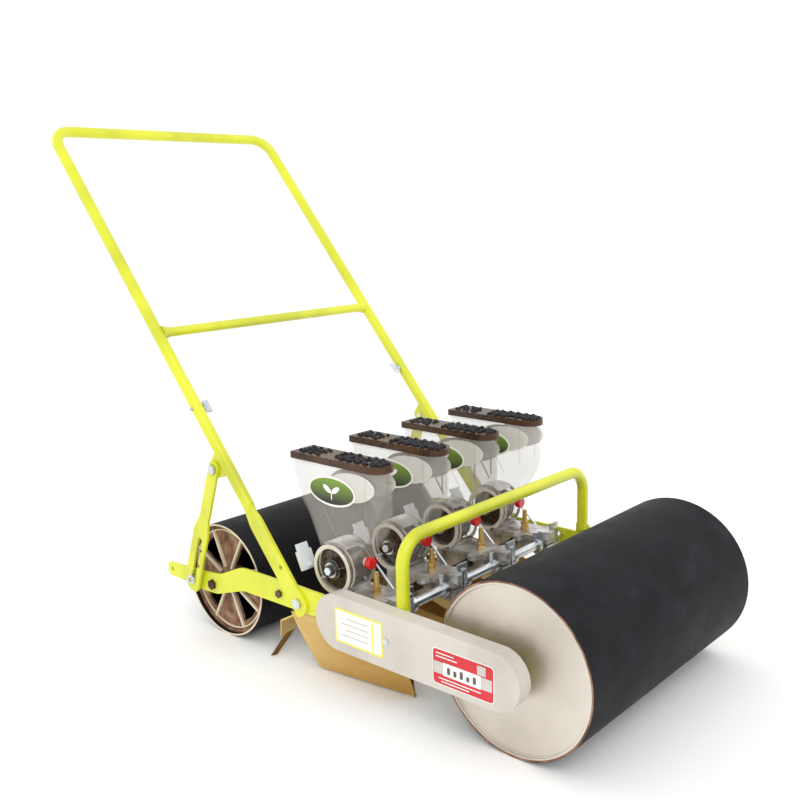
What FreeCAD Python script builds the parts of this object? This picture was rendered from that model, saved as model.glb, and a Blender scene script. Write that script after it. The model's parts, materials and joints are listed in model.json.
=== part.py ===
"""Four-row push seeder: a parametric assembly in millimetres, +Z up, front towards -Y.

The origin is on the ground, under the middle of the machine. Every sub-part is modelled from the
front roller's axle (y = 0 there) and then set back by the cell front_axle_y. The side with the
chain case is the right side and lies at -X.
"""
import FreeCAD, Part
import math
import os
import re
from FreeCAD import Placement, Rotation, Vector

os.makedirs("parts", exist_ok=True)
doc = FreeCAD.newDocument("PushSeeder")

SIZES = {
    # whole machine
    "front_axle_y": -458.525, "axle_height": 125, "plate_thick": 5, "frame_half": 254,
    # front roller
    "front_radius": 125, "front_width": 475, "sleeve_thick": 2.5, "drum_wall": 3, "axle_radius": 8,
    # rear roller
    "rear_radius": 100.8, "rear_width": 466, "rear_y": 620, "rear_z": 100.8, "rim_thick": 3.5,
    "hub_radius": 17, "hub_width": 30, "opening_count": 4, "wheel_recess": 7,
    # drive
    "shaft_y": 292.1, "shaft_z": 128, "hex_radius": 8, "sprocket_x": -268, "sprocket_thick": 6,
    "chain_pitch": 12.7, "chain_teeth": 14, "case_back_x": -256, "case_depth": 23, "case_wall": 1.5,
    "case_front_radius": 41.5, "case_rear_radius": 44, "roller_diameter": 8,
    # toolbar and guard
    "toolbar_y": 238, "toolbar_z": 135, "toolbar_radius": 8, "guard_y": 187, "guard_half": 243.9,
    "guard_top": 270.5, "guard_bend": 42, "guard_leg_z": 158, "tube_radius": 10, "tube_wall": 1.8,
    # handle
    "pivot_y": 393.7, "pivot_z": 126.5, "handle_angle": 50.27, "handle_length": 995,
    "handle_half": 259, "handle_bend": 38, "leg_end": 360, "flat_length": 150, "flat_width": 32,
    "flat_x": -264.4, "crossbar_at": 528, "crossbar_radius": 8.5,
    # braces: the pivot-to-pin and pivot-to-bolt distances are equal
    "brace_reach": 269.2, "brace_pin_angle": 44.57, "brace_bolt_angle": -4.76, "brace_x": -269.4,
    "brace_thick": 4.5, "slot_travel": 80,
    # row units
    "unit_count": 4, "unit_pitch": 133, "hopper_half": 23, "hopper_wall": 2, "lid_z": 349,
    "lid_thick": 11, "meter_y": 351, "meter_z": 182, "meter_radius": 37, "meter_half": 24,
    "seed_roller_radius": 31, "base_top": 150, "opener_half": 23, "blade_thick": 2.5,
    "stud_y": 282, "bolt_radius": 4, "bolt_end": 281, "arm_bolt_y": 443,
}


def make_sheet():
    """Keep every driving dimension as a plain number in a named cell."""
    table = doc.addObject("Spreadsheet::Sheet", "Sizes")
    for row, (alias, value) in enumerate(SIZES.items(), start=1):
        table.set(f"A{row}", alias)
        table.set(f"B{row}", str(value))
        table.setAlias(f"B{row}", alias)
    doc.recompute()
    return table


sheet = make_sheet()
FUNCTIONS = {"sin", "cos", "sqrt"}
TURNS = {"z": Rotation(), "x": Rotation(Vector(0, 1, 0), 90), "y": Rotation(Vector(1, 0, 0), -90)}
nodes = []
used = {}


def size(alias):
    """The number in a cell."""
    return float(getattr(sheet, alias))


def formula(text):
    """An expression in which every plain word is a cell of the sheet."""
    def cell(match):
        word = match.group(0)
        return word if word in FUNCTIONS else "Sizes." + word
    return re.sub(r"[a-z][a-z_]+", cell, str(text))


def unique(name):
    """A free object name: the doc's names are unique, so repeats get a number."""
    used[name] = used.get(name, 0) + 1
    return f"{name}_{used[name]}"


def bind(item, **values):
    for name, value in values.items():
        item.setExpression(name, formula(value))
    return item


def locate(item, x, y, z):
    for letter, value in zip("xyz", (x, y, z)):
        item.setExpression(f"Placement.Base.{letter}", formula(value))
    return item


def cylinder(radius, length, x=0, y=0, z=0, axis="z"):
    """A round bar that starts at (x, y, z) and runs along the axis."""
    bar = doc.addObject("Part::Cylinder", unique("bar"))
    bar.Placement = Placement(Vector(), TURNS[axis])
    return locate(bind(bar, Radius=radius, Height=length), x, y, z)


def cone(radius_start, radius_end, length, x=0, y=0, z=0, axis="z"):
    taper = doc.addObject("Part::Cone", unique("cone"))
    taper.Placement = Placement(Vector(), TURNS[axis])
    return locate(bind(taper, Radius1=radius_start, Radius2=radius_end, Height=length), x, y, z)


def hexagon(radius, length, x=0, y=0, z=0, axis="z"):
    """A hexagonal bar or nut with its circumscribed radius."""
    nut = doc.addObject("Part::Prism", unique("hexagon"))
    nut.Polygon = 6
    nut.Placement = Placement(Vector(), TURNS[axis])
    return locate(bind(nut, Circumradius=radius, Height=length), x, y, z)


def box(length, width, height, x=0, y=0, z=0):
    """A block with one corner at (x, y, z)."""
    block = doc.addObject("Part::Box", unique("block"))
    return locate(bind(block, Length=length, Width=width, Height=height), x, y, z)


def fuse(*pieces):
    joined = doc.addObject("Part::MultiFuse", unique("joined"))
    joined.Shapes = list(pieces)
    return joined


def cut(base, *tools):
    trimmed = doc.addObject("Part::Cut", unique("trimmed"))
    trimmed.Base = base
    trimmed.Tool = tools[0] if len(tools) == 1 else fuse(*tools)
    return trimmed


def common(first, second):
    shared = doc.addObject("Part::Common", unique("shared"))
    shared.Base = first
    shared.Tool = second
    return shared


def turned(piece, angle, y, z, axis=Vector(1, 0, 0), x=0):
    """A piece turned about an axis through (x, y, z), which is then its own origin."""
    holder = doc.addObject("Part::Compound", unique("turned"))
    holder.Links = [piece]
    holder.Placement = Placement(Vector(), Rotation(axis, angle))
    return locate(holder, x, y, z)


def mirrored(piece, normal=(1, 0, 0)):
    """The same piece for the other side of the machine."""
    twin = doc.addObject("Part::Mirroring", unique("twin"))
    twin.Source = piece
    twin.Normal = Vector(*normal)
    return twin


def both_sides(piece):
    return [piece, mirrored(piece)]


def node(label, *pieces, x=0, y=0, z=0, tilt=0):
    """A finished sub-part: its solids together, labelled and put in its place."""
    whole = doc.addObject("Part::Compound", "node_" + label)
    whole.Label = label
    whole.Links = list(pieces)
    whole.Placement = Placement(Vector(), Rotation(Vector(1, 0, 0), tilt))
    nodes.append(whole)
    return locate(whole, x, f"front_axle_y + {y}", z)


def rounded(points):
    """Lines and arcs of a closed outline in the YZ plane; a point is (y, z, corner radius)."""
    count = len(points)
    corners = []
    for index, (along, up, radius) in enumerate(points):
        here = Vector(along, up, 0)
        before = Vector(*points[index - 1][:2], 0) - here
        after = Vector(*points[(index + 1) % count][:2], 0) - here
        before.normalize()
        after.normalize()
        half = before.getAngle(after) / 2
        if radius == 0:
            corners.append((here, None, here))
            continue
        reach = radius / math.tan(half)
        middle = (before + after).normalize()
        tip = here + middle * (radius / math.sin(half) - radius)
        corners.append((here + before * reach, tip, here + after * reach))
    edges = []
    for index, (start, tip, end) in enumerate(corners):
        if tip is not None:
            edges.append(Part.Arc(start, tip, end))
        following = corners[(index + 1) % count][0]
        if (following - end).Length > 1e-6:
            edges.append(Part.LineSegment(end, following))
    return edges


def polar(angle, reach="brace_reach"):
    """A point of the handle's triangle, seen from the pivot."""
    turn = math.radians(size(angle))
    return (size("pivot_y") + size(reach) * math.cos(turn),
            size("pivot_z") + size(reach) * math.sin(turn))


def circle(y, z, radius):
    return Part.Circle(Vector(y, z, 0), Vector(0, 0, 1), radius)


def plate(outline, x, thickness, holes=()):
    """A flat plate parallel to the YZ plane: a sketch, padded from x towards +X."""
    body = doc.addObject("PartDesign::Body", unique("plate"))
    sketch = body.newObject("Sketcher::SketchObject", body.Name + "_outline")
    planes = [item for item in body.Origin.OriginFeatures if item.Role == "YZ_Plane"]
    sketch.AttachmentSupport = (planes[0], [""])
    sketch.MapMode = "FlatFace"
    sketch.addGeometry(list(outline) + list(holes), False)
    sketch.setExpression("AttachmentOffset.Base.z", formula(x))
    pad = body.newObject("PartDesign::Pad", body.Name + "_pad")
    pad.Profile = sketch
    pad.setExpression("Length", formula(thickness))
    body.Tip = pad
    return body


def sheet_metal(corners, thickness, towards):
    """A flat sheet through its corners, thickened towards a direction, in any plane."""
    points = [Vector(*corner) for corner in corners]
    face = Part.Face(Part.makePolygon(points + points[:1]))
    normal = face.normalAt(0, 0)
    side = 1 if normal.dot(Vector(*towards)) > 0 else -1
    metal = doc.addObject("Part::Feature", unique("sheet"))
    metal.Shape = face.extrude(normal * side * thickness)
    return metal


def bow(half, leg_start, top, bend, radius, wall):
    """A U-shaped tube in the XY plane, open at both feet: a ring swept along legs, bends and crown."""
    half, leg_start, top, bend = size(half), size(leg_start), size(top), size(bend)
    inset = bend * (1 - math.sqrt(0.5))
    shoulder = top - bend
    path = [
        Part.LineSegment(Vector(-half, leg_start, 0), Vector(-half, shoulder, 0)),
        Part.Arc(Vector(-half, shoulder, 0), Vector(inset - half, top - inset, 0),
                 Vector(bend - half, top, 0)),
        Part.LineSegment(Vector(bend - half, top, 0), Vector(half - bend, top, 0)),
        Part.Arc(Vector(half - bend, top, 0), Vector(half - inset, top - inset, 0),
                 Vector(half, shoulder, 0)),
        Part.LineSegment(Vector(half, shoulder, 0), Vector(half, leg_start, 0)),
    ]
    spine = Part.Wire([edge.toShape() for edge in path])

    def swept(section_radius):
        ring = Part.Circle(Vector(-half, leg_start, 0), Vector(0, 1, 0), section_radius)
        return spine.makePipeShell([Part.Wire([ring.toShape()])], True, False)

    tube = doc.addObject("Part::Feature", unique("bow"))
    tube.Shape = swept(size(radius)).cut(swept(size(radius) - size(wall)))
    return tube


def bolt(x, y, z, length, head=6.5, radius=4):
    """A bolt along X, for the right side: its head is outside x and its shank runs inwards."""
    return fuse(cylinder(radius, length, x, y, z, "x"), hexagon(head, 4, f"{x} - 4", y, z, "x"))


def make_side_plates():
    """The long inner plates that carry the front axle, the hex shaft and the toolbar."""
    outline = rounded([(-24, 104, 18), (-24, 146, 18), (456, 150, 16), (456, 112, 16)])
    holes = [
        circle(0, size("axle_height"), size("axle_radius") + 4),
        circle(size("shaft_y"), size("shaft_z"), size("hex_radius") + 4),
        circle(size("toolbar_y"), size("toolbar_z"), 4.2),
        circle(191, 127, 2.5),
        circle(size("pivot_y"), size("pivot_z"), 5.2),
        circle(size("arm_bolt_y"), 129, 4.2),
    ]
    right = plate(outline, "0 - frame_half", "plate_thick", holes)
    node("side_plate_right", right)
    node("side_plate_left", mirrored(right))


def make_rear_arms():
    """The cranked flat bars that carry the rear roller and the handle."""
    outline = rounded([
        (341, 112, 0), (536, 110, 60), (608, 86, 60), (660, 84, 40), (694, 88, 20), (750, 89, 9),
        (750, 114, 9), (696, 116, 20), (642, 119, 30), (596, 125, 60), (541, 150, 60), (341, 152, 0),
    ])
    holes = [
        circle(size("pivot_y"), size("pivot_z"), 5.2),
        circle(size("arm_bolt_y"), 129, 4.2),
        circle(size("rear_y"), size("rear_z"), 6.2),
        circle(*polar("brace_bolt_angle"), 5.2),
        circle(737, 102, 4.5),
    ]
    right = plate(outline, "0 - frame_half - plate_thick", "plate_thick", holes)
    node("rear_arm_right", right)
    node("rear_arm_left", mirrored(right))


def make_guard():
    """The U tube over the units, with flattened feet welded inside the side plates."""
    tube = bow("guard_half", "guard_leg_z", "guard_top", "guard_bend", "tube_radius", "tube_wall")
    upright = turned(tube, 90, "guard_y", 0)
    foot = box(5, 27, 56, "plate_thick - frame_half", "guard_y - 13.5", 110)
    node("front_guard", fuse(upright, *both_sides(foot)))


def make_toolbar():
    """The round bar that the row units hang on, with its set collars."""
    length = "2 * (frame_half - plate_thick)"
    bar = cylinder("toolbar_radius", length, "plate_thick - frame_half", "toolbar_y", "toolbar_z", "x")
    tapped = cylinder(4, "2 * frame_half", "0 - frame_half", "toolbar_y", "toolbar_z", "x")
    node("toolbar", cut(bar, tapped))
    collars = []
    for unit in range(int(size("unit_count"))):
        for offset in (-33, 25):
            start = f"unit_pitch * ({unit} - 1.5) + {offset}"
            ring = cylinder(13, 8, start, "toolbar_y", "toolbar_z", "x")
            bore = cylinder("toolbar_radius", 8, start, "toolbar_y", "toolbar_z", "x")
            screw = hexagon(5, 17, f"{start} + 4", "toolbar_y", "toolbar_z + toolbar_radius")
            collars.append(fuse(cut(ring, bore), screw))
    node("toolbar_collars", *collars)


def make_bearings():
    """Flanged bushes for the front axle and the hex shaft, in both side plates."""
    bushes = []
    for y, z, bore in ((0, "axle_height", "axle_radius"), ("shaft_y", "shaft_z", "hex_radius")):
        sleeve = cylinder(f"{bore} + 4", "plate_thick", "0 - frame_half", y, z, "x")
        flange = cylinder(f"{bore} + 8", 4, "plate_thick - frame_half", y, z, "x")
        hole = cylinder(f"{bore} + 0.05", 20, -256, y, z, "x")
        bushes += both_sides(cut(fuse(sleeve, flange), hole))
    node("shaft_bushes", *bushes)


def make_chain_case():
    """An obround cover with a back plate, bolted on the right side plate."""
    length = size("shaft_y")
    drop = 1.5

    def obround(front, rear):
        top = [(0, size("axle_height") + drop + front), (length, size("shaft_z") + rear)]
        low = [(length, size("shaft_z") - rear), (0, size("axle_height") + drop - front)]
        nose = (-front, size("axle_height") + drop)
        tail = (length + rear, size("shaft_z"))
        points = [Vector(y, z, 0) for y, z in (*top, tail, *low, nose)]
        return [
            Part.LineSegment(points[0], points[1]), Part.Arc(points[1], points[2], points[3]),
            Part.LineSegment(points[3], points[4]), Part.Arc(points[4], points[5], points[0]),
        ]

    front, rear, wall = size("case_front_radius"), size("case_rear_radius"), size("case_wall")
    holes = [
        circle(0, size("axle_height"), size("axle_radius") + 1),
        circle(length, size("shaft_z"), size("hex_radius") + 1.5),
        circle(size("toolbar_y"), size("toolbar_z"), 8),
    ]
    screw_hole = circle(191, 127, 2.5)
    back = plate(obround(front, rear), "case_back_x", 2, holes + [screw_hole])
    node("chain_case_back", back)
    shell = plate(obround(front, rear), "case_back_x - case_depth", "case_depth", [screw_hole])
    inside = plate(obround(front - wall, rear - wall), "case_back_x - case_depth + case_wall", 40)
    node("chain_case_cover", cut(shell, inside))


def sprocket(y, z, bore, x="sprocket_x"):
    """A chain wheel with round tooth gaps at the pitch circle."""
    teeth = int(size("chain_teeth"))
    pitch_radius = size("chain_pitch") / (2 * math.sin(math.pi / teeth))
    disc = cylinder(pitch_radius + 4.2, "sprocket_thick", x, y, z, "x")
    gaps = []
    for tooth in range(teeth):
        angle = 2 * math.pi * (tooth + 0.5) / teeth
        gap_y = f"{y} + {pitch_radius * math.cos(angle)}"
        gap_z = f"{z} + {pitch_radius * math.sin(angle)}"
        gaps.append(cylinder("roller_diameter / 2 + 0.4", 12, f"{x} - 3", gap_y, gap_z, "x"))
    boss = cylinder(14, "sprocket_thick + 3", x, y, z, "x")
    return cut(fuse(disc, boss), *gaps, bore)


def make_chain():
    """The endless chain: two side bands, and rollers along both straight runs."""
    pitch_radius = size("chain_pitch") / (2 * math.sin(math.pi / size("chain_teeth")))
    height = size("axle_height")
    rise = size("shaft_z") - height

    def loop(radius):
        slope = math.atan2(rise, size("shaft_y"))
        up = Vector(-math.sin(slope), math.cos(slope), 0) * radius
        along = Vector(math.cos(slope), math.sin(slope), 0) * radius
        first, last = Vector(0, height, 0), Vector(size("shaft_y"), height + rise, 0)
        return [
            Part.LineSegment(first + up, last + up), Part.Arc(last + up, last + along, last - up),
            Part.LineSegment(last - up, first - up), Part.Arc(first - up, first - along, first + up),
        ]

    bands = []
    for x in (-270.2, -261.3):
        bands.append(plate(loop(pitch_radius + 3.8), x, 1.5, loop(pitch_radius - 3.8)))
    rollers = []
    pitches = int(size("shaft_y") / size("chain_pitch"))
    for link in range(3, pitches - 2):
        y = link * size("chain_pitch")
        for side in (-1, 1):
            z = height + rise * y / size("shaft_y") + side * pitch_radius
            rollers.append(cylinder("roller_diameter / 2 - 0.3", 8, -269.3, y, z, "x"))
    node("drive_chain", fuse(*bands, *rollers))


def make_front_roller():
    """Steel drum with a rubber sleeve, on a through axle with the driving sprocket."""
    half = "front_width / 2"
    outer = "front_radius - sleeve_thick"
    shell = cylinder(outer, "front_width", f"0 - {half}", 0, "axle_height", "x")
    hollow = cylinder(f"{outer} - drum_wall", "front_width", f"0 - {half}", 0, "axle_height", "x")
    disc = cut(
        cylinder(f"{outer} - drum_wall", 3, f"4 - {half}", 0, "axle_height", "x"),
        cylinder("axle_radius", 10, f"0 - {half}", 0, "axle_height", "x"),
    )
    node("front_drum", fuse(cut(shell, hollow), *both_sides(disc)))
    cover = cylinder("front_radius", "front_width", f"0 - {half}", 0, "axle_height", "x")
    inside = cylinder(outer, "front_width", f"0 - {half}", 0, "axle_height", "x")
    node("front_sleeve", cut(cover, inside))
    node("front_axle", cylinder("axle_radius", 534, -274, 0, "axle_height", "x"))
    bore = cylinder("axle_radius", 20, -275, 0, "axle_height", "x")
    node("front_sprocket", sprocket(0, "axle_height", bore))


def make_rear_roller():
    """Black drum shell on two cast wheels, each with four wedge openings, and a through axle."""
    half = "rear_width / 2"
    inner = "rear_radius - rim_thick"
    shell = cut(
        cylinder("rear_radius", "rear_width", f"0 - {half}", "rear_y", "rear_z", "x"),
        cylinder(inner, "rear_width", f"0 - {half}", "rear_y", "rear_z", "x"),
    )
    node("rear_drum", shell)
    start = f"wheel_recess - {half}"
    rim = cut(
        cylinder(inner, 18, start, "rear_y", "rear_z", "x"),
        cylinder(f"{inner} - 6", 18, start, "rear_y", "rear_z", "x"),
    )
    hub = cylinder("hub_radius", "hub_width", start, "rear_y", "rear_z", "x")
    web = cylinder(f"{inner} - 3", 5, f"{start} + 5", "rear_y", "rear_z", "x")
    corners = [(24, -7), (76, -24.5), (80, 0), (76, 24.5), (24, 7)]
    openings = []
    for opening in range(int(size("opening_count"))):
        wedge = plate([
            Part.LineSegment(Vector(*corner, 0), Vector(*corners[(index + 1) % 5], 0))
            for index, corner in enumerate(corners)
        ], f"{start} + 3", 9)
        openings.append(turned(wedge, 90 * opening + 47, "rear_y", "rear_z"))
    bore = cylinder("axle_radius + 0.05", 60, -250, "rear_y", "rear_z", "x")
    wheel = cut(fuse(rim, hub, cut(web, *openings)), bore)
    node("rear_wheel_right", wheel)
    node("rear_wheel_left", mirrored(wheel))
    node("rear_axle", cylinder("axle_radius", 506, -253, "rear_y", "rear_z", "x"))


def make_hex_shaft():
    """The cross shaft that the chain turns, with one small chain wheel for each unit."""
    length = "frame_half + 270"
    bar = hexagon("hex_radius", length, -274, "shaft_y", "shaft_z", "x")
    node("hex_shaft", bar)
    bore = hexagon("hex_radius", 20, -275, "shaft_y", "shaft_z", "x")
    node("shaft_sprocket", sprocket("shaft_y", "shaft_z", bore))


def make_handle():
    """The U-shaped push bar, modelled flat with its legs along Y from the pivot, then raised."""
    place = {"y": "pivot_y", "z": "pivot_z", "tilt": size("handle_angle")}
    joint_holes = both_sides(cylinder(3, 60, "0 - handle_half - 30", "leg_end + 12", 0, "x"))
    upper = bow("handle_half", "leg_end", "handle_length", "handle_bend", "tube_radius", "tube_wall")
    node("handle_bow", cut(upper, *joint_holes), **place)
    flat_end = size("flat_length")
    half = size("flat_width") / 2
    flat = plate(
        rounded([(-20, -half, 8), (flat_end, -half, 60), (flat_end + 30, -8, 0),
                 (flat_end + 30, 8, 0), (flat_end, half, 60), (-20, half, 14)]),
        "flat_x", 5, [circle(0, 0, 5.05), circle(63, 4, 4)],
    )
    shoulder = cone(2.5, "tube_radius", 36, "0 - handle_half", "flat_length - 6", 0, "y")
    tube = cut(
        cylinder("tube_radius", "leg_end - flat_length - 30", "0 - handle_half",
                 "flat_length + 30", 0, "y"),
        cylinder("tube_radius - tube_wall", "leg_end - flat_length", "0 - handle_half",
                 "flat_length + 50", 0, "y"),
    )
    pin_turn = math.radians(size("brace_pin_angle") - size("handle_angle"))
    pin_y = size("brace_reach") * math.cos(pin_turn)
    pin_z = size("brace_reach") * math.sin(pin_turn)
    lug = plate(
        rounded([(pin_y - 26, -7, 0), (pin_y - 12, pin_z - 12, 10),
                 (pin_y + 12, pin_z - 12, 10), (pin_y + 22, -7, 0)]),
        "flat_x", "brace_thick", [circle(pin_y, pin_z, 5)],
    )
    spigot = cylinder("tube_radius - tube_wall", 60, "0 - handle_half", "leg_end - 30", 0, "y")
    leg = cut(fuse(flat, shoulder, tube, lug, spigot), joint_holes[0])
    node("handle_leg_right", leg, **place)
    node("handle_leg_left", mirrored(leg), **place)
    bar = cylinder("crossbar_radius", "2 * handle_half", "0 - handle_half", "crossbar_at", 0, "x")
    flare = cone(13, "crossbar_radius", 20, "0 - handle_half + 6", "crossbar_at", 0, "x")
    tubes = both_sides(cylinder("tube_radius", 80, "0 - handle_half", "crossbar_at - 40", 0, "y"))
    node("handle_crossbar", cut(fuse(bar, *both_sides(flare)), *tubes), **place)
    screw = cylinder(3, 34, "0 - handle_half - 14", "leg_end + 12", 0, "x")
    wing = box(12, 22, 4, "14 - handle_half", "leg_end + 1", -2)
    nut = hexagon(6.5, 5, "10 - handle_half", "leg_end + 12", 0, "x")
    pin = bolt("flat_x - 5.4", pin_y, pin_z, 12, head=9, radius=5)
    node("handle_bolts", *both_sides(fuse(screw, wing, nut)), *both_sides(pin), **place)


def make_braces():
    """Height braces: each hangs on a pin of the handle and slides on a bolt of the arm."""
    top_y, top_z = polar("brace_pin_angle")
    spread = size("brace_pin_angle") - size("brace_bolt_angle")
    span = 2 * size("brace_reach") * math.sin(math.radians(spread / 2))
    slope = (size("brace_pin_angle") + size("brace_bolt_angle")) / 2 - 90
    slot_half = 5.35
    slot_top = span - size("slot_travel")
    notch = 16

    def side_notch(along):
        """A notch in the slot's front edge."""
        return [(along - 4, -slot_half, 0), (along - 4, -slot_half - 5, 2),
                (along + 4, -slot_half - 5, 2), (along + 4, -slot_half, 0)]

    slot = rounded([
        (slot_top - slot_half, -slot_half, 4), *side_notch(slot_top + notch),
        *side_notch(slot_top + 3 * notch), (span + slot_half, -slot_half, 4),
        (span + slot_half, slot_half, 4), (slot_top - slot_half, slot_half, 4),
    ])
    outline = rounded([
        (-14, -12, 11), (104, -12, 30), (130, -17, 20), (span + 22, -17, 10),
        (span + 22, 8, 8), (span + 8, 21, 8), (128, 21, 8), (98, 12, 12), (-14, 12, 11),
    ])
    strip = plate(outline, "brace_x", "brace_thick", [circle(0, 0, 5.05)])
    window = plate(slot, "brace_x - 1", 8)
    place = {"y": top_y, "z": top_z, "tilt": slope}
    right = cut(strip, window)
    node("brace_right", right, **place)
    node("brace_left", mirrored(right), **place)


def make_frame_bolts():
    """Plated pivot and brace bolts and screws, and the dark bolts of the arms."""
    pivot = bolt("flat_x - 0.4", "pivot_y", "pivot_z", 18, head=9, radius=5)
    bolt_y, bolt_z = polar("brace_bolt_angle")
    stay = fuse(
        bolt("brace_x - 0.4", bolt_y, bolt_z, 24, head=9, radius=5),
        cylinder(8, 5.6, "0 - frame_half - 10.6", bolt_y, bolt_z, "x"),
        cylinder(4, 8, "0 - bolt_end", bolt_y, bolt_z, "x"),
    )
    screw = bolt("0 - frame_half", "toolbar_y", "toolbar_z", 24, head=7)
    case_screw = fuse(
        cylinder(2.3, 29, "case_back_x - case_depth", 191, 127, "x"),
        cylinder(5, 2, "0 - bolt_end", 191, 127, "x"),
    )
    node("plated_bolts", *both_sides(pivot), *both_sides(stay), *both_sides(screw), case_screw)
    axle_bolt = bolt("0 - frame_half - plate_thick", "rear_y", "rear_z", 6, head=9.5, radius=6)
    arm_bolt = fuse(
        bolt("0 - frame_half - plate_thick", "arm_bolt_y", 129, 16, head=7),
        hexagon(8, 6, "plate_thick - frame_half", "arm_bolt_y", 129, "x"),
    )
    node("arm_bolts", *both_sides(axle_bolt), *both_sides(arm_bolt))


def unit_x(number):
    return f"unit_pitch * ({number} - 1.5)"


def each_unit(piece):
    """Four copies of a piece, one at the middle of each row unit."""
    copies = []
    for number in range(int(size("unit_count"))):
        copy = doc.addObject("Part::Compound", unique("copy"))
        copy.Links = [piece]
        copies.append(locate(copy, unit_x(number), 0, 0))
    return copies


def unit_nodes(label, piece):
    """One node of the same shape for each row unit."""
    for number in range(int(size("unit_count"))):
        node(f"{label}_{number + 1}", piece, x=unit_x(number))


def meter_bar(radius, length, x):
    """A round bar on the metering axis."""
    return cylinder(radius, length, x, "meter_y", "meter_z", "x")


def ring_room():
    """The space that the flange rings of a metering case take."""
    return fuse(
        meter_bar("meter_radius + 3.2", 3.9, -27.7),
        meter_bar("meter_radius + 2.7", 2.9, -17.2),
        meter_bar("meter_radius + 3.2", 3.9, 23.8),
    )


def make_unit_bodies():
    """Cast bases: a flat table, a hub round the hex shaft and a socket for the opener's shank."""
    table = box(64, 77, 8, -32, 261, "base_top - 8")
    finger = fuse(cylinder(9, 8, -37, 272, "base_top - 8"), box(10, 18, 8, -37, 263, "base_top - 8"))
    hub = box(44, 48, 34, -22, "shaft_y - 24", "base_top - 42")
    socket = box(26, 38, 46, -13, 334, 98)
    bridge = box(26, 30, 26, -13, 312, 112)
    cradle = cut(meter_bar("meter_radius + 7", 40, -20), box(60, 120, 60, -30, 290, 158))
    bore = cylinder("hex_radius + 0.5", 80, -40, "shaft_y", "shaft_z", "x")
    stud_hole = cylinder("bolt_radius", 30, 0, "stud_y", "base_top - 12")
    shank_slot = box(16.6, 12.6, 80, -8.3, 345.7, 80)
    seat = meter_bar("meter_radius", 80, -40)
    casting = cut(fuse(table, finger, hub, socket, bridge, cradle), bore, shank_slot, stud_hole, seat,
                  ring_room())
    node("unit_bodies", *each_unit(casting))


def make_metering_cases():
    """Clear round housings with flange rings; the closed side carries the roller's axle."""
    barrel = meter_bar("meter_radius", "2 * meter_half", "0 - meter_half")
    rings = [meter_bar("meter_radius + 3", 3.5, x) for x in (-27.5, 24)]
    rings.append(meter_bar("meter_radius + 2.5", 2.5, -17))
    inside = meter_bar("meter_radius - 3.5", 54, -29)
    axle_hole = meter_bar(6.1, 80, -40)
    mouth = box(34, 52, 40, -17, "meter_y - 26", "meter_z + 20")
    node("metering_cases", *each_unit(cut(fuse(barrel, *rings), inside, axle_hole, mouth)))


def make_seed_rollers():
    """Brown metering rollers with cells in their rim and a small driving wheel."""
    roller = meter_bar("seed_roller_radius", 40, -20)
    cells = []
    for cell in range(12):
        angle = math.radians(30 * cell)
        y = f"meter_y + seed_roller_radius * {math.cos(angle)}"
        z = f"meter_z + seed_roller_radius * {math.sin(angle)}"
        cells.append(cylinder(2.6, 8, 2, y, z, "x"))
    boss = cut(meter_bar(17, 7, -27), meter_bar(12.5, 7, -29))
    stub = meter_bar(6, 75, -34)
    cap = meter_bar(9, 8, -36)
    wheel = meter_bar(18, 5, 36)
    unit_nodes("seed_roller", fuse(cut(roller, *cells), boss, stub, cap, wheel))


def hopper_plan(half, front, back, low, height):
    """A block with a half-round front end, seen from above."""
    block = box(f"2 * {half}", f"{back} - {front} - {half}", height, f"0 - {half}",
                f"{front} + {half}", low)
    return fuse(block, cylinder(half, height, 0, f"{front} + {half}", low))


def make_hoppers():
    """Clear seed boxes that narrow down to the metering case, open at the top and the mouth."""
    outer = rounded([
        (251, 349, 0), (251, 305, 60), (264, 262, 60), (288, 224, 40), (312, 196, 0),
        (351, 186, 0), (376, 206, 0), (402, 263, 60), (422, 290, 40), (437, 322, 30), (437, 349, 0),
    ])
    inner = rounded([
        (253.5, 350, 0), (253.5, 305, 58), (266.5, 263, 58), (290, 226.5, 38), (322, 190, 0),
        (351, 180, 0), (366, 190, 0), (399.8, 264.6, 62), (419.6, 291.4, 42), (434.5, 323, 32),
        (434.5, 350, 0),
    ])
    outside = common(
        plate(outer, "0 - hopper_half", "2 * hopper_half"),
        hopper_plan("hopper_half", 251, 438, 180, 169),
    )
    inside = common(
        plate(inner, "hopper_wall - hopper_half", "2 * (hopper_half - hopper_wall)"),
        hopper_plan("(hopper_half - hopper_wall)", 253, 440, 170, 185),
    )
    seat = meter_bar("meter_radius + 0.1", 80, -40)
    unit_nodes("hopper", cut(outside, inside, seat, ring_room()))
    lid = cut(
        hopper_plan("(hopper_half + 1.8)", 248, 440, "lid_z + 0.2", "lid_thick"),
        hopper_plan("(hopper_half - 1.2)", 251, 437, "lid_z", "lid_thick - 2"),
    )
    unit_nodes("lid", lid)


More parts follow.
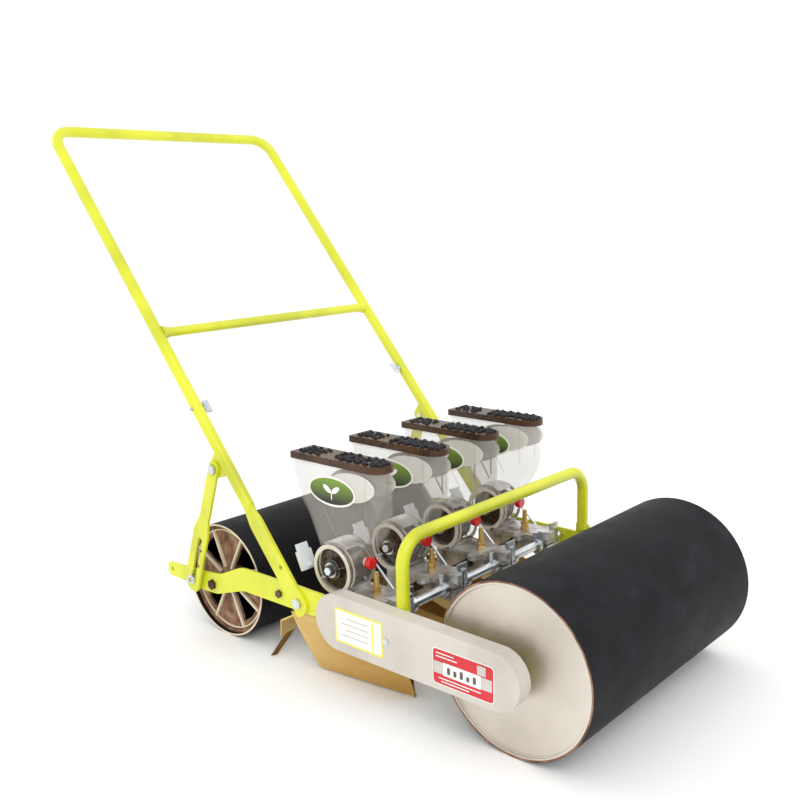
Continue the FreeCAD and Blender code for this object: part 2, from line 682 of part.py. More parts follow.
def make_unit_trim():
    """Small parts of the units, grouped by kind."""
    clip = fuse(box(28, 8, 32, -14, 0, 0), box(20, 8, 12, -10, 0, 32), box(8, 14, 8, -4, -12, 4))
    node("brush_clips", *each_unit(turned(clip, -24, 418, 164, x=-12)))
    cap = cylinder(8.5, 11, 0, 288, 198, "y")
    collar = cylinder(6.5, 5, 0, 299, 198, "y")
    node("red_caps", *each_unit(cap))
    node("cap_collars", *each_unit(collar))
    stud = cylinder("bolt_radius", 44, 0, "stud_y", "base_top - 8")
    nuts = [hexagon(7.5, 6, 0, "stud_y", f"base_top + {lift}") for lift in (0, 8)]
    node("adjusting_studs", *each_unit(fuse(stud, *nuts)))
    jaw = cut(
        fuse(box(36, 26, 44, -18, 222, 114), box(36, 14, 30, -18, 247, 122),
             box(50, 12, 10, -25, 249, 140), box(14, 12, 14, -18, 214, 146)),
        cylinder("toolbar_radius", 80, -40, "toolbar_y", "toolbar_z", "x"),
        box(40, 20, 3, -20, 212, "toolbar_z - 1.5"),
        cylinder("bolt_radius", 80, 8, 225, 90),
    )
    node("clamp_jaws", *each_unit(jaw))
    screw = cylinder("bolt_radius", 56, 8, 225, 106)
    wings = fuse(box(24, 4, 10, -4, 223, 162), hexagon(7, 5, 8, 225, 158))
    side_bolt = fuse(cylinder(3.5, 18, 18, 256, 134, "x"), box(4, 18, 9, 36, 252, 129.5))
    node("clamp_wing_bolts", *each_unit(fuse(screw, wings)), *each_unit(side_bolt))
    wheel = cut(cylinder(18, 5, 36, "shaft_y", "shaft_z", "x"),
                hexagon("hex_radius", 9, 34, "shaft_y", "shaft_z", "x"))
    node("unit_drive_wheels", *each_unit(wheel))
    start = Vector(size("shaft_y"), size("shaft_z"), 0)
    end = Vector(size("meter_y"), size("meter_z"), 0)
    along = (end - start).normalize()
    up = Vector(-along.y, along.x, 0)

    def belt(radius):
        across, ahead = up * radius, along * radius
        return [
            Part.LineSegment(start + across, end + across),
            Part.Arc(end + across, end + ahead, end - across),
            Part.LineSegment(end - across, start - across),
            Part.Arc(start - across, start - ahead, start + across),
        ]

    node("unit_drive_chains", *each_unit(plate(belt(20.6), 36.5, 4, belt(18.3))))


def make_openers():
    """Furrow openers: two sheets that part towards the rear and the top, on a flat shank."""
    keel_front, keel_rear, keel_z = 206, 394, 3
    spread = size("opener_half") / (keel_rear - keel_front)
    flare = 0.11

    def side(y, z):
        """A corner of the right sheet, which leans out towards the rear and the top."""
        return (-spread * (y - keel_front) - flare * (z - keel_z), y, z)

    outline = [(keel_front, keel_z), (keel_rear, keel_z), (430, 66), (441, 92), (340, 92), (226, 74)]
    right = sheet_metal([side(y, z) for y, z in outline], size("blade_thick"), (1, 0, 0))
    web = box(44, 5, 12, -22, 340, 66)
    shank = box(16, 12, 56, -8, 346, 64)
    floor = box(40, 30, 4, -20, 340, 64)
    hinge_lug = box(20, 31, 4, -10, 388, 72)
    tab = cut(box(8, 20, 18, -4, 418, 66), cylinder(3.06, 20, -10, 430, 75, "x"))
    beam = box(16, 50, 6, -8, 352, 70)
    unit_nodes("opener", fuse(*both_sides(right), web, shank, floor, hinge_lug, tab, beam))


def make_coverers():
    """Hanging scrapers: a bent plate with its fork on the opener's tail, and a thin blade."""
    cheek = box(3, 26, 14, 4.4, 423, 68)
    bridge = box(14.8, 10, 14, -7.4, 443, 68)
    pin = cylinder(3, 14.8, -7.4, 430, 75, "x")
    arm = sheet_metal([(-7, 450, 80), (7, 450, 80), (16, 496, 54), (-16, 496, 54)], 3, (0, 0, -1))
    drop = sheet_metal([(-16, 495, 55), (16, 495, 55), (18, 500, 24), (-14, 500, 24)], 3, (0, -1, 0))
    blade = sheet_metal([(-48, 487.5, 3), (16, 503, 34), (18, 499, 26), (-36, 486.5, 1)], 2.5, (0, -1, 0))
    unit_nodes("coverer", fuse(*both_sides(cheek), bridge, pin, arm, drop, blade))


def check_and_export():
    """Stop on any failed feature, then write one file for each sub-part."""
    for item in doc.Objects:
        if any(state in ("Invalid", "Error") for state in item.State):
            raise RuntimeError(f"{item.Name} failed: {item.State}")
    for item in nodes:
        if item.Shape.isNull() or not item.Shape.isValid():
            raise RuntimeError(f"{item.Label} has no valid shape")
        if any(solid.Volume <= 0 for solid in item.Shape.Solids):
            raise RuntimeError(f"{item.Label} holds an inside-out solid")
    for item in nodes:
        item.Shape.exportStep(f"parts/{item.Label}.step")
    whole = Part.makeCompound([item.Shape for item in nodes]).BoundBox
    print(f"{len(nodes)} nodes, x {whole.XMin:.2f} {whole.XMax:.2f}, "
          f"y {whole.YMin:.2f} {whole.YMax:.2f}, z {whole.ZMin:.2f} {whole.ZMax:.2f}")


make_side_plates()
make_rear_arms()
make_guard()
make_toolbar()
make_bearings()
make_chain_case()
make_chain()
make_front_roller()
make_rear_roller()
make_hex_shaft()
make_handle()
make_braces()
make_frame_bolts()
make_unit_bodies()
make_metering_cases()
make_seed_rollers()
make_hoppers()
make_unit_trim()
make_openers()
make_coverers()
doc.recompute()
check_and_export()
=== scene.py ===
"""Looks of the four-row push seeder: materials, small mouldings, labels, floor, lights and camera."""
import bpy
import bmesh
import json
import math
import random
from mathutils import Matrix, Vector


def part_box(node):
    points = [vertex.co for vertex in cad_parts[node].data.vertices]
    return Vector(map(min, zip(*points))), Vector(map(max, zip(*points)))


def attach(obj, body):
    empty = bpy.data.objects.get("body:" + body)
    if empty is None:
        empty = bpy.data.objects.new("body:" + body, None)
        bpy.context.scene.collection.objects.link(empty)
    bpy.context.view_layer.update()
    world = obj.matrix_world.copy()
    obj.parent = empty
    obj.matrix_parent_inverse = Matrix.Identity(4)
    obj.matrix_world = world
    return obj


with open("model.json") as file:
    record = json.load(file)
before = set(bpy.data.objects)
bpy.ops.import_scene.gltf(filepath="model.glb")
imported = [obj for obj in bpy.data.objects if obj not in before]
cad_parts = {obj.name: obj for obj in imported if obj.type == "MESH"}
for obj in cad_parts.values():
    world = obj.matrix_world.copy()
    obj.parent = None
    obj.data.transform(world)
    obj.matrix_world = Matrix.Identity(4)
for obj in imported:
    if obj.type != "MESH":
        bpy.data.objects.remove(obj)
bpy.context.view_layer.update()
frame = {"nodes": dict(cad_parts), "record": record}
UNITS = (1, 2, 3, 4)
MM = 0.001


# ---------------------------------------------------------------- materials

class Look:
    """A node material under construction: one Principled shader and what feeds it."""

    def __init__(self, name, rough=0.4, metal=0.0):
        self.material = bpy.data.materials.new(name)
        self.material.use_nodes = True
        self.tree = self.material.node_tree
        self.shader = self.tree.nodes["Principled BSDF"]
        self.shader.inputs["Roughness"].default_value = rough
        self.shader.inputs["Metallic"].default_value = metal
        self.place = self.tree.nodes.new("ShaderNodeTexCoord").outputs["Object"]

    def noise(self, scale, detail=4.0, stretch=(1, 1, 1)):
        """Noise over the object; returns its value."""
        mapping = self.tree.nodes.new("ShaderNodeMapping")
        mapping.inputs["Scale"].default_value = stretch
        self.tree.links.new(self.place, mapping.inputs["Vector"])
        node = self.tree.nodes.new("ShaderNodeTexNoise")
        node.inputs["Scale"].default_value = scale
        node.inputs["Detail"].default_value = detail
        self.tree.links.new(mapping.outputs["Vector"], node.inputs["Vector"])
        return node.outputs["Fac"]

    def ramp(self, source, stops):
        """Colours at (position, colour) stops along a value."""
        node = self.tree.nodes.new("ShaderNodeValToRGB")
        while len(node.color_ramp.elements) < len(stops):
            node.color_ramp.elements.new(0.5)
        for element, (position, color) in zip(node.color_ramp.elements, stops):
            element.position = position
            element.color = (*color, 1)
        self.tree.links.new(source, node.inputs["Fac"])
        return node.outputs["Color"]

    def color(self, source, stops):
        """Base colour from a value."""
        self.tree.links.new(self.ramp(source, stops), self.shader.inputs["Base Color"])
        return self

    def rough(self, source, low, high):
        """Roughness from a value."""
        node = self.tree.nodes.new("ShaderNodeMapRange")
        node.inputs["To Min"].default_value = low
        node.inputs["To Max"].default_value = high
        self.tree.links.new(source, node.inputs["Value"])
        self.tree.links.new(node.outputs["Result"], self.shader.inputs["Roughness"])
        return self

    def bump(self, source, strength, distance=0.001):
        """Surface relief from a value."""
        node = self.tree.nodes.new("ShaderNodeBump")
        node.inputs["Strength"].default_value = strength
        node.inputs["Distance"].default_value = distance
        self.tree.links.new(source, node.inputs["Height"])
        self.tree.links.new(node.outputs["Normal"], self.shader.inputs["Normal"])
        return self

    def set(self, **values):
        """Shader inputs by name, with underscores for spaces."""
        for name, value in values.items():
            self.shader.inputs[name.replace("_", " ")].default_value = value
        return self


def paint(name, dark, base, light, rough=0.32):
    """Sprayed enamel with slow colour drift and a thin clear coat."""
    look = Look(name, rough)
    look.color(look.noise(9, 6), [(0.3, dark), (0.5, base), (0.75, light)])
    look.rough(look.noise(40, 6), rough - 0.06, rough + 0.14)
    look.bump(look.noise(220, 3), 0.12, 0.0004)
    return look.set(Coat_Weight=0.35, Coat_Roughness=0.18).material


def metal(name, dark, light, rough, grain=(1, 1, 1), bump=0.1, scale=60):
    """Bare or plated metal; grain stretches its streaks."""
    look = Look(name, rough, 1.0)
    look.color(look.noise(scale / 4, 6, grain), [(0.3, dark), (0.7, light)])
    look.rough(look.noise(scale, 8, grain), rough - 0.1, rough + 0.15)
    look.bump(look.noise(scale * 4, 4, grain), bump, 0.0003)
    return look.material


def plastic(name, dark, light, rough=0.3, alpha=1.0, coat=0.3, shine=0.5):
    """Moulded plastic, clear below an alpha of 1."""
    look = Look(name, rough)
    look.color(look.noise(14, 5), [(0.3, dark), (0.7, light)])
    look.rough(look.noise(50, 5), rough - 0.05, rough + 0.1)
    look.bump(look.noise(160, 3), 0.06, 0.0003)
    look.set(Alpha=alpha, IOR=1.49, Coat_Weight=coat, Coat_Roughness=0.08, Specular_IOR_Level=shine)
    return look.material


def rubber():
    """Black roller covering with faint dusty patches."""
    look = Look("roller_rubber", 0.5)
    look.color(look.noise(26, 8), [(0.35, (0.002, 0.002, 0.004)), (0.62, (0.006, 0.006, 0.010)),
                                   (0.8, (0.018, 0.018, 0.024))])
    look.rough(look.noise(18, 8), 0.5, 0.75)
    look.bump(look.noise(170, 8), 0.35, 0.0006)
    return look.set(Specular_IOR_Level=0.2).material


def rusty_iron():
    """Brown rust, rough all over."""
    look = Look("rusty_iron", 0.75, 0.15)
    look.color(look.noise(45, 10), [(0.32, (0.10, 0.045, 0.025)), (0.5, (0.27, 0.13, 0.075)),
                                    (0.7, (0.42, 0.29, 0.2))])
    look.rough(look.noise(60, 6), 0.6, 0.9)
    look.bump(look.noise(140, 8), 0.5, 0.0008)
    return look.material


def casting():
    """Grey cast alloy with warm stained patches."""
    look = Look("cast_alloy", 0.42, 0.85)
    look.color(look.noise(34, 8), [(0.30, (0.20, 0.15, 0.11)), (0.44, (0.52, 0.50, 0.48)),
                                   (0.66, (0.80, 0.79, 0.78))])
    look.rough(look.noise(45, 8), 0.3, 0.6)
    look.bump(look.noise(150, 6), 0.5, 0.0005)
    return look.material


LOOKS = {
    "frame_paint": paint("frame_paint", (0.52, 0.55, 0.012), (0.68, 0.71, 0.015), (0.78, 0.79, 0.03)),
    "case_paint": paint("case_paint", (0.49, 0.45, 0.40), (0.59, 0.55, 0.49), (0.66, 0.62, 0.56), 0.38),
    "zinc_steel": metal("zinc_steel", (0.50, 0.55, 0.60), (0.83, 0.85, 0.87), 0.3),
    "dark_steel": metal("dark_steel", (0.055, 0.035, 0.026), (0.17, 0.125, 0.10), 0.42),
    "drum_steel": metal("drum_steel", (0.60, 0.55, 0.49), (0.82, 0.77, 0.69), 0.46, scale=30),
    "roller_rubber": rubber(),
    "rusty_iron": rusty_iron(),
    "cast_alloy": casting(),
    "gold_zinc": metal("gold_zinc", (0.56, 0.33, 0.09), (0.95, 0.76, 0.36), 0.3, (1, 0.4, 1), scale=24),
    "clear_plastic": plastic("clear_plastic", (0.55, 0.50, 0.45), (0.74, 0.70, 0.65), 0.12, 0.13),
    "smoke_plastic": plastic("smoke_plastic", (0.035, 0.015, 0.007), (0.10, 0.045, 0.020),
                             0.24, 0.92, 0, 0.3),
    "red_plastic": plastic("red_plastic", (0.55, 0.008, 0.012), (0.78, 0.03, 0.03), 0.25),
    "cream_plastic": plastic("cream_plastic", (0.66, 0.55, 0.36), (0.84, 0.75, 0.58), 0.4),
    "white_plastic": plastic("white_plastic", (0.68, 0.75, 0.78), (0.88, 0.91, 0.92), 0.35),
    "brown_plastic": plastic("brown_plastic", (0.030, 0.016, 0.010), (0.09, 0.05, 0.03), 0.24),
}
BLACK_BEAD = plastic("black_bead", (0.002, 0.002, 0.004), (0.008, 0.007, 0.013), 0.3, 1, 0, 0.25)
LABEL_WHITE = plastic("label_white", (0.80, 0.79, 0.74), (0.90, 0.89, 0.85), 0.4)
LABEL_RED = plastic("label_red", (0.52, 0.004, 0.012), (0.66, 0.01, 0.02), 0.38)
LABEL_GREY = plastic("label_grey", (0.52, 0.50, 0.47), (0.60, 0.58, 0.55), 0.4)
LABEL_DARK = plastic("label_dark", (0.05, 0.04, 0.035), (0.10, 0.08, 0.07), 0.4)
FLANGE_EDGE = plastic("flange_edge", (0.72, 0.62, 0.50), (0.90, 0.84, 0.74), 0.25, 0.85)
LABEL_YELLOW = plastic("label_yellow", (0.82, 0.74, 0.04), (0.90, 0.84, 0.08), 0.4)
FROSTED = plastic("frosted_panel", (0.86, 0.82, 0.75), (0.94, 0.91, 0.86), 0.5, 0.55)


def leaf_green():
    """Green that darkens downwards, for the plain oval badges."""
    look = Look("badge_green", 0.35)
    split = look.tree.nodes.new("ShaderNodeSeparateXYZ")
    look.tree.links.new(look.place, split.inputs["Vector"])
    height = look.tree.nodes.new("ShaderNodeMapRange")
    height.inputs["From Min"].default_value = 0.285
    height.inputs["From Max"].default_value = 0.335
    look.tree.links.new(split.outputs["Z"], height.inputs["Value"])
    look.color(height.outputs["Result"], [(0.15, (0.012, 0.014, 0.008)), (0.95, (0.20, 0.34, 0.03))])
    return look.material


BADGE_GREEN = leaf_green()


def dress_frame():
    """Every carried-over CAD node takes the look of its material slot."""
    slots = {row["node"]: row["material_slot"] for row in frame["record"]["subparts"]}
    for name, node in frame["nodes"].items():
        node.data.materials.clear()
        node.data.materials.append(LOOKS[slots[name]])


# ---------------------------------------------------------------- mesh helpers

def piece(name, mesh, material, body, smooth=False):
    """A finished Blender piece that rides on a body."""
    data = bpy.data.meshes.new(name)
    mesh.normal_update()
    mesh.to_mesh(data)
    mesh.free()
    data.materials.append(material)
    if smooth:
        data.shade_smooth()
    thing = bpy.data.objects.new(name, data)
    bpy.context.scene.collection.objects.link(thing)
    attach(thing, body)
    return thing


def slab(mesh, outline, x, thick):
    """A flat plate across X: the (y, z) outline at x, thickened towards +X."""
    near = [mesh.verts.new((x, y, z)) for y, z in outline]
    far = [mesh.verts.new((x + thick, y, z)) for y, z in outline]
    mesh.faces.new(near)
    mesh.faces.new(far[::-1])
    for index in range(len(outline)):
        after = (index + 1) % len(outline)
        mesh.faces.new((near[index], far[index], far[after], near[after]))


def oval(y, z, half_y, half_z, tilt=0.0, steps=56):
    """An ellipse turned by tilt, as (y, z) points."""
    points = []
    for step in range(steps):
        turn = 2 * math.pi * step / steps
        along, up = half_y * math.cos(turn), half_z * math.sin(turn)
        points.append((y + along * math.cos(tilt) - up * math.sin(tilt),
                       z + along * math.sin(tilt) + up * math.cos(tilt)))
    return points


def rectangle(y0, y1, z0, z1, radius=0.0, steps=6):
    """A rectangle with round corners."""
    points = []
    corners = ((y1, z1, 0), (y0, z1, 90), (y0, z0, 180), (y1, z0, 270))
    for y, z, start in corners:
        middle = (y - math.copysign(radius, y - (y0 + y1) / 2),
                  z - math.copysign(radius, z - (z0 + z1) / 2))
        for step in range(steps + 1):
            turn = math.radians(start + 90 * step / steps)
            points.append((middle[0] + radius * math.cos(turn), middle[1] + radius * math.sin(turn)))
    return points


def lathe(mesh, profile, center, axis="x", steps=72):
    """A closed profile of (along, radius) points turned about a line along X or Z."""
    rings = []
    for step in range(steps):
        turn = 2 * math.pi * step / steps
        ring = []
        for along, radius in profile:
            side, up = radius * math.cos(turn), radius * math.sin(turn)
            offset = (along, side, up) if axis == "x" else (side, up, along)
            ring.append(mesh.verts.new(Vector(center) + Vector(offset)))
        rings.append(ring)
    for step in range(steps):
        one, two = rings[step], rings[(step + 1) % steps]
        for index in range(len(profile)):
            after = (index + 1) % len(profile)
            mesh.faces.new((one[index], one[after], two[after], two[index]))
    bmesh.ops.recalc_face_normals(mesh, faces=mesh.faces)


def bar(mesh, start, end, width, depth, side):
    """A straight rectangular bar between two points; side is the direction of its depth."""
    start, end, side = Vector(start), Vector(end), Vector(side).normalized()
    across = (end - start).cross(side).normalized() * width / 2
    corners = []
    for spot in (start, end):
        corners += [mesh.verts.new(spot + across * a + side * depth * b)
                    for a, b in ((-1, 0), (1, 0), (1, 1), (-1, 1))]
    for face in ((0, 1, 2, 3), (7, 6, 5, 4), (0, 4, 5, 1), (1, 5, 6, 2), (2, 6, 7, 3), (3, 7, 4, 0)):
        mesh.faces.new([corners[index] for index in face])
    bmesh.ops.recalc_face_normals(mesh, faces=mesh.faces)


def corners_of(node):
    """The lowest and the highest corner of a CAD node's box."""
    low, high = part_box(node)
    return Vector(low), Vector(high)


def middle(node):
    """The centre of a CAD node's box."""
    low, high = corners_of(node)
    return (low + high) / 2


# ---------------------------------------------------------------- rollers

def add_roller_edges():
    """The cut ends of the rubber covers: a brown ring in front, a pale one behind."""
    for node, body, color, slot, thick in (
        ("front_sleeve", "front_roller", "rusty_iron", "roller_rubber", 2.5 * MM),
        ("rear_drum", "rear_roller", "cream_plastic", "rusty_iron", 3.0 * MM),
    ):
        low, high = corners_of(node)
        radius = (high.z - low.z) / 2
        center = (low + high) / 2
        mesh = bmesh.new()
        for x, way in ((low.x, -1), (high.x, 1)):
            spot = (x, center.y, center.z)
            profile = [(0, radius - 0.2 * MM), (0.8 * MM * way, radius - 0.6 * MM),
                       (0.8 * MM * way, radius - thick), (0, radius - thick - 0.4 * MM)]
            lathe(mesh, profile, spot, steps=128)
        piece(node + "_edges", mesh, LOOKS[color], body)


def add_drum_weld():
    """A weld bead inside each end of the front drum."""
    low, high = corners_of("front_drum")
    radius = (high.z - low.z) / 2 - 3 * MM
    center = (low + high) / 2
    mesh = bmesh.new()
    for x, way in ((low.x, 1), (high.x, -1)):
        bead = []
        for step in range(8):
            turn = 2 * math.pi * step / 8
            bead.append(((4 + 1.3 * math.cos(turn)) * MM * way, radius - (0.4 + 1.3 * math.sin(turn)) * MM))
        lathe(mesh, bead, (x, center.y, center.z), steps=128)
    piece("front_drum_weld", mesh, LOOKS["drum_steel"], "front_roller", smooth=True)


WHEEL_OPENINGS, FIRST_OPENING = 4, 47


def add_wheel_ribs():
    """Cream raised edges beside the four openings of each rusty wheel, and round its rim."""
    for node, way in (("rear_wheel_right", -1), ("rear_wheel_left", 1)):
        low, high = corners_of(node)
        center = (low + high) / 2
        rim = (high.z - low.z) / 2
        origin = Vector(((low.x if way < 0 else high.x) - way * 5 * MM, center.y, center.z))
        mesh = bmesh.new()
        for opening in range(WHEEL_OPENINGS):
            turn = math.radians(360 / WHEEL_OPENINGS * opening + FIRST_OPENING)
            ahead = Vector((0, math.cos(turn), math.sin(turn)))
            across = Vector((0, -math.sin(turn), math.cos(turn)))
            for side in (-1, 1):
                inner = ahead * 20 * MM + across * side * 8.4 * MM
                outer = ahead * 85 * MM + across * side * 30 * MM
                bar(mesh, origin + inner, origin + outer, 4.4 * MM, 4.5 * MM, (way, 0, 0))
        lip, wall = rim - 7.5 * MM, 2.2 * MM
        profile = [(0, lip), (3.2 * MM * way, lip), (3.2 * MM * way, lip - wall), (0, lip - wall)]
        lathe(mesh, profile, origin, steps=96)
        piece(node + "_ribs", mesh, LOOKS["cream_plastic"], "rear_roller")


def add_lid_beads():
    """Clusters of round black studs on each lid: a large one in front, a small one behind."""
    for unit in UNITS:
        low, high = corners_of(f"lid_{unit}")
        chance = random.Random(20 + unit)
        mesh = bmesh.new()
        pitch = 9.2 * MM
        for row in range(21):
            y = low.y + 9 * MM + row * pitch * 0.93
            share = (y - low.y) / (high.y - low.y)
            if 0.55 < share < 0.70 or share > 0.97:
                continue
            for column in range(5):
                x = (low.x + high.x) / 2 + (column - 2 + 0.5 * (row % 2)) * pitch - 0.25 * pitch
                inside = abs(x - (low.x + high.x) / 2) < (high.x - low.x) / 2 - 5 * MM
                nose = (low.y + (high.x - low.x) / 2) - y
                if nose > 0 and math.hypot(nose, x - (low.x + high.x) / 2) > (high.x - low.x) / 2 - 5 * MM:
                    inside = False
                if not inside or chance.random() < 0.13:
                    continue
                spot = Vector((x + chance.uniform(-1, 1) * MM, y + chance.uniform(-1, 1) * MM, high.z))
                size = chance.uniform(4.0, 4.9) * MM if share < 0.55 else chance.uniform(3.0, 3.9) * MM
                dome = Matrix.Translation(spot) @ Matrix.Diagonal((1, 1, 0.95, 1))
                bmesh.ops.create_uvsphere(mesh, u_segments=14, v_segments=8, radius=size, matrix=dome)
        piece(f"lid_{unit}_beads", mesh, BLACK_BEAD, f"lid_{unit}", smooth=True)


def add_hopper_details():
    """Moulded ribs on both sides of each hopper, a frosted panel and a plain badge with a sprout."""
    for unit in UNITS:
        low, high = corners_of(f"hopper_{unit}")
        rim = bmesh.new()
        y0, y1 = low.y + 24 * MM, high.y
        for x, way in ((low.x, -1), (high.x, 1)):
            bar(rim, (x, y0, high.z - 2 * MM), (x, y1, high.z - 2 * MM), 3 * MM, 1.2 * MM, (way, 0, 0))
            bar(rim, (x, y0 + 96 * MM, high.z - 68 * MM), (x, y0 + 70 * MM, low.z + 46 * MM),
                2.2 * MM, 0.9 * MM, (way, 0, 0))
            bar(rim, (x, y0 + 2 * MM, high.z - 6 * MM), (x, y0 + 2 * MM, high.z - 70 * MM),
                2.2 * MM, 0.9 * MM, (way, 0, 0))
        piece(f"hopper_{unit}_ribs", rim, LOOKS["clear_plastic"], "frame")
        for way, x in ((-1, low.x), (1, high.x)):
            side = "near" if way < 0 else "far"
            panel = bmesh.new()
            slab(panel, oval(low.y + 58 * MM, high.z - 28 * MM, 51 * MM, 23 * MM, -0.1), x + way * 0.8 * MM,
                 -way * 0.8 * MM)
            piece(f"hopper_{unit}_panel_{side}", panel, FROSTED, "frame")
            border = bmesh.new()
            y, z = low.y + 98 * MM, high.z - 40 * MM
            slab(border, oval(y, z, 51 * MM, 24 * MM), x + way * 1.3 * MM, -way * 0.4 * MM)
            piece(f"hopper_{unit}_badge_border_{side}", border, LABEL_WHITE, "frame")
            field = bmesh.new()
            slab(field, oval(y, z, 47.5 * MM, 20.5 * MM), x + way * 1.7 * MM, -way * 0.3 * MM)
            piece(f"hopper_{unit}_badge_{side}", field, BADGE_GREEN, "frame")
            sprout = bmesh.new()
            for lean in (-1, 1):
                leaf = oval(y + lean * 9 * MM, z + 3 * MM, 10 * MM, 4.2 * MM, lean * 0.55, 24)
                slab(sprout, leaf, x + way * 2.0 * MM, -way * 0.25 * MM)
            slab(sprout, rectangle(y - 1 * MM, y + 1 * MM, z - 13 * MM, z + 0 * MM, 0.6 * MM),
                 x + way * 2.0 * MM, -way * 0.25 * MM)
            piece(f"hopper_{unit}_badge_sprout_{side}", sprout, LABEL_WHITE, "frame")


def add_stud_threads():
    """Rolled threads on the brass-coloured studs."""
    low, high = corners_of("adjusting_studs")
    centers = [middle(f"hopper_{unit}").x for unit in UNITS]
    y = (low.y + high.y) / 2
    mesh = bmesh.new()
    pitch = 1.6 * MM
    turns = int((high.z - low.z - 22 * MM) / pitch)
    for x in centers:
        for turn in range(turns):
            z = low.z + 22 * MM + turn * pitch
            profile = [(0, 3.8 * MM), (0.8 * MM, 4.55 * MM), (1.6 * MM, 3.8 * MM)]
            lathe(mesh, profile, (x, y, z), "z", 20)
    piece("adjusting_stud_threads", mesh, LOOKS["gold_zinc"], "frame", smooth=True)


def add_knurls():
    """Grip ridges round the red caps."""
    low, high = corners_of("red_caps")
    radius = (high.z - low.z) / 2
    z = (low.z + high.z) / 2
    mesh = bmesh.new()
    for unit in UNITS:
        x = middle(f"hopper_{unit}").x
        for ridge in range(18):
            turn = 2 * math.pi * ridge / 18
            out = Vector((math.cos(turn), 0, math.sin(turn)))
            start = Vector((x, low.y + 1 * MM, z)) + out * (radius - 0.6 * MM)
            end = Vector((x, high.y - 1 * MM, z)) + out * (radius - 0.6 * MM)
            bar(mesh, start, end, 1.6 * MM, 1.5 * MM, out)
    piece("red_cap_ridges", mesh, LOOKS["red_plastic"], "frame")


def add_meter_details():
    """A spider, hub and nut on each metering roller's open end, and bright edges on its case."""
    for unit in UNITS:
        center = middle(f"seed_roller_{unit}")
        low, high = corners_of(f"seed_roller_{unit}")
        spider = bmesh.new()
        x = low.x + 8 * MM
        for arm in range(5):
            turn = 2 * math.pi * arm / 5 + 0.3
            out = Vector((0, math.cos(turn), math.sin(turn)))
            bar(spider, Vector((x, center.y, center.z)) + out * 16 * MM,
                Vector((x + 6 * MM, center.y, center.z)) + out * 29 * MM, 2.4 * MM, 2 * MM, (-1, 0, 0))
        lathe(spider, [(0, 17.6 * MM), (2 * MM, 17.6 * MM), (2 * MM, 15.4 * MM), (0, 15.4 * MM)],
              (low.x + 8 * MM, center.y, center.z), steps=48)
        piece(f"seed_roller_{unit}_spider", spider, LOOKS["brown_plastic"], f"seed_roller_{unit}")
        hub = bmesh.new()
        spot = (middle(f"hopper_{unit}").x, center.y, center.z)
        lathe(hub, [(-31.5 * MM, 9.2 * MM), (-31.5 * MM, 12.3 * MM), (-27.2 * MM, 12.3 * MM),
                    (-27.2 * MM, 9.2 * MM)], spot, steps=48)
        piece(f"seed_roller_{unit}_hub", hub, LOOKS["zinc_steel"], f"seed_roller_{unit}")
        flange = bmesh.new()
        for x, inner, outer in ((-28.3, 33.8, 40.5), (-17.8, 37.2, 40.0), (27.6, 33.8, 40.5)):
            lathe(flange, [(x * MM, inner * MM), (x * MM, outer * MM), ((x + 0.7) * MM, outer * MM),
                           ((x + 0.7) * MM, inner * MM)], spot, steps=72)
        piece(f"metering_case_{unit}_edges", flange, FLANGE_EDGE, "frame")
        end = bmesh.new()
        bmesh.ops.create_cone(end, cap_ends=True, segments=6, radius1=6.5 * MM, radius2=6.0 * MM,
                              depth=3.5 * MM,
                              matrix=Matrix.Translation((low.x - 1 * MM, center.y, center.z))
                              @ Matrix.Rotation(math.radians(90), 4, "Y"))
        piece(f"seed_roller_{unit}_nut", end, LOOKS["white_plastic"], f"seed_roller_{unit}")


# ---------------------------------------------------------------- labels

def add_case_labels():
    """Plain plates on the chain case: a white one with a yellow border and a red one."""
    low, high = corners_of("chain_case_cover")
    x = low.x
    axle = middle("front_axle").y

    def label(name, y0, y1, z0, z1, radius, lift, material):
        mesh = bmesh.new()
        outline = rectangle(axle + y0 * MM, axle + y1 * MM, z0 * MM, z1 * MM, radius * MM)
        slab(mesh, outline, x - lift * MM, 0.25 * MM)
        piece(name, mesh, material, "frame")

    label("data_plate_border", 197, 294, 99, 153, 2, 0.3, LABEL_YELLOW)
    label("data_plate", 200, 291, 102, 150, 1, 0.55, LABEL_WHITE)
    label("data_plate_edge_line", 215, 218, 105, 147, 0.5, 0.75, LABEL_YELLOW)
    for row in range(4):
        z = 112 + row * 9
        label(f"data_plate_line_{row + 1}", 226, 280 - 9 * (row % 2), z, z + 2, 0.4, 0.75, LABEL_GREY)
    label("red_plate_border", -1.5, 103.5, 93.5, 146.5, 6, 0.3, LABEL_WHITE)
    label("red_plate", 0, 102, 95, 145, 5, 0.55, LABEL_RED)
    label("red_plate_band", 2, 101, 110, 127, 1, 0.8, LABEL_GREY)
    label("red_plate_square", 12, 26, 129, 142, 1, 0.8, LABEL_GREY)
    label("red_plate_panel", 20, 84, 109, 128, 1, 1.05, LABEL_WHITE)
    for mark, (y, height) in enumerate(((28, 10), (39, 7), (50, 11), (61, 8), (72, 10))):
        label(f"red_plate_mark_{mark + 1}", y, y + 5, 113, 113 + height, 1.5, 1.3, LABEL_DARK)
    for line, (y0, y1, z) in enumerate(((66, 97, 139), (60, 97, 134), (20, 92, 103), (40, 88, 98.5))):
        label(f"red_plate_line_{line + 1}", y0, y1, z, z + 1.6, 0.6, 0.8, LABEL_WHITE)


# ---------------------------------------------------------------- stage

AZIMUTH, ELEVATION, ROLL = -47.9, 11.1, -1.4
DISTANCE = 1.692
TARGET = Vector((0.0018, -0.0528, 0.4099))
LENS = 44.0


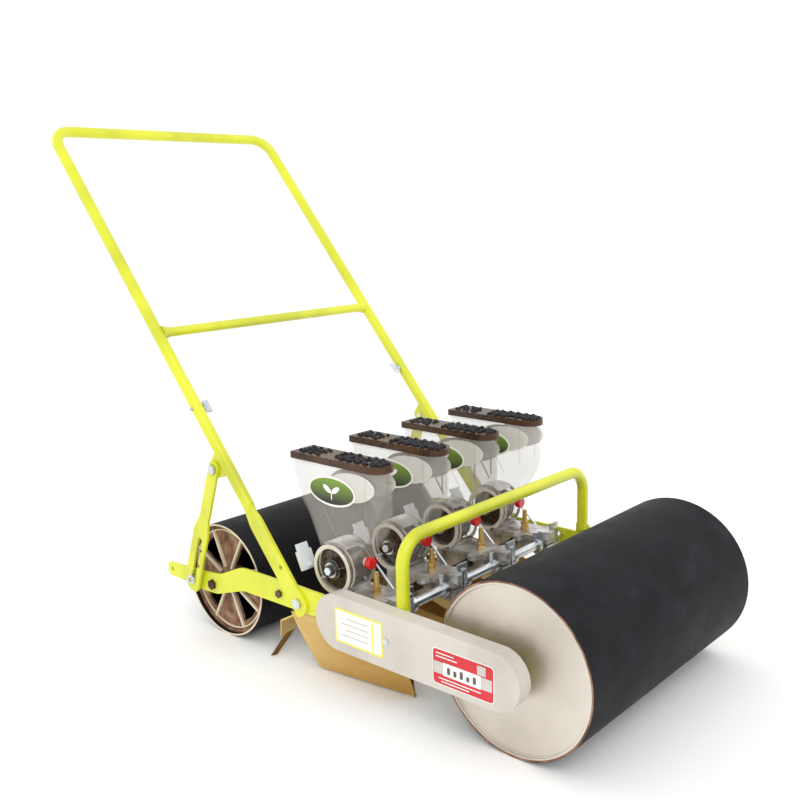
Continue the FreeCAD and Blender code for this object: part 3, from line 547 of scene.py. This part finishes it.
def set_camera():
    """The camera stands in front of the chain-case corner, a little above the hoppers."""
    turn, rise, roll = (math.radians(angle) for angle in (AZIMUTH, ELEVATION, ROLL))
    ahead = Vector((-math.sin(turn) * math.cos(rise), math.cos(turn) * math.cos(rise), -math.sin(rise)))
    right = ahead.cross(Vector((0, 0, 1))).normalized()
    up = right.cross(ahead)
    tilted_right = right * math.cos(roll) + up * math.sin(roll)
    tilted_up = up * math.cos(roll) - right * math.sin(roll)
    data = bpy.data.cameras.new("camera")
    data.lens = LENS
    camera = bpy.data.objects.new("camera", data)
    basis = Matrix((tilted_right, tilted_up, -ahead)).transposed().to_4x4()
    camera.matrix_world = Matrix.Translation(TARGET - ahead * DISTANCE) @ basis
    bpy.context.scene.collection.objects.link(camera)
    bpy.context.scene.camera = camera


FLOOR_HALF, SKY_STRENGTH = 12, 1.05
LIGHT_AIM = Vector((0, 0, 0.3))
LIGHTS = (  # name, place, watts, size
    ("key", (-2.2, -2.6, 3.0), 46, 2.4),
    ("fill", (2.8, -2.0, 2.2), 8, 2.6),
    ("back", (-1.0, 3.2, 2.6), 26, 2.4),
)


def set_stage():
    """A pale floor, a soft sky and three large area lights."""
    mesh = bmesh.new()
    bmesh.ops.create_grid(mesh, x_segments=1, y_segments=1, size=FLOOR_HALF)
    data = bpy.data.meshes.new("floor")
    mesh.to_mesh(data)
    mesh.free()
    floor = bpy.data.objects.new("floor", data)
    bpy.context.scene.collection.objects.link(floor)
    look = Look("floor", 0.85)
    look.color(look.noise(3, 2), [(0.3, (0.95, 0.95, 0.95)), (0.7, (0.97, 0.97, 0.97))])
    data.materials.append(look.material)
    world = bpy.data.worlds.new("studio")
    world.use_nodes = True
    sky = world.node_tree.nodes["Background"]
    sky.inputs["Color"].default_value = (1, 1, 1, 1)
    sky.inputs["Strength"].default_value = SKY_STRENGTH
    bpy.context.scene.world = world
    for name, spot, power, size in LIGHTS:
        light = bpy.data.lights.new(name, "AREA")
        light.energy = power
        light.size = size
        lamp = bpy.data.objects.new(name, light)
        lamp.location = spot
        aim = LIGHT_AIM - lamp.location
        lamp.rotation_euler = aim.to_track_quat("-Z", "Y").to_euler()
        bpy.context.scene.collection.objects.link(lamp)
    bpy.context.scene.view_settings.view_transform = "Standard"


dress_frame()
add_roller_edges()
add_drum_weld()
add_wheel_ribs()
add_lid_beads()
add_hopper_details()
add_stud_threads()
add_knurls()
add_meter_details()
add_case_labels()
set_camera()
set_stage()
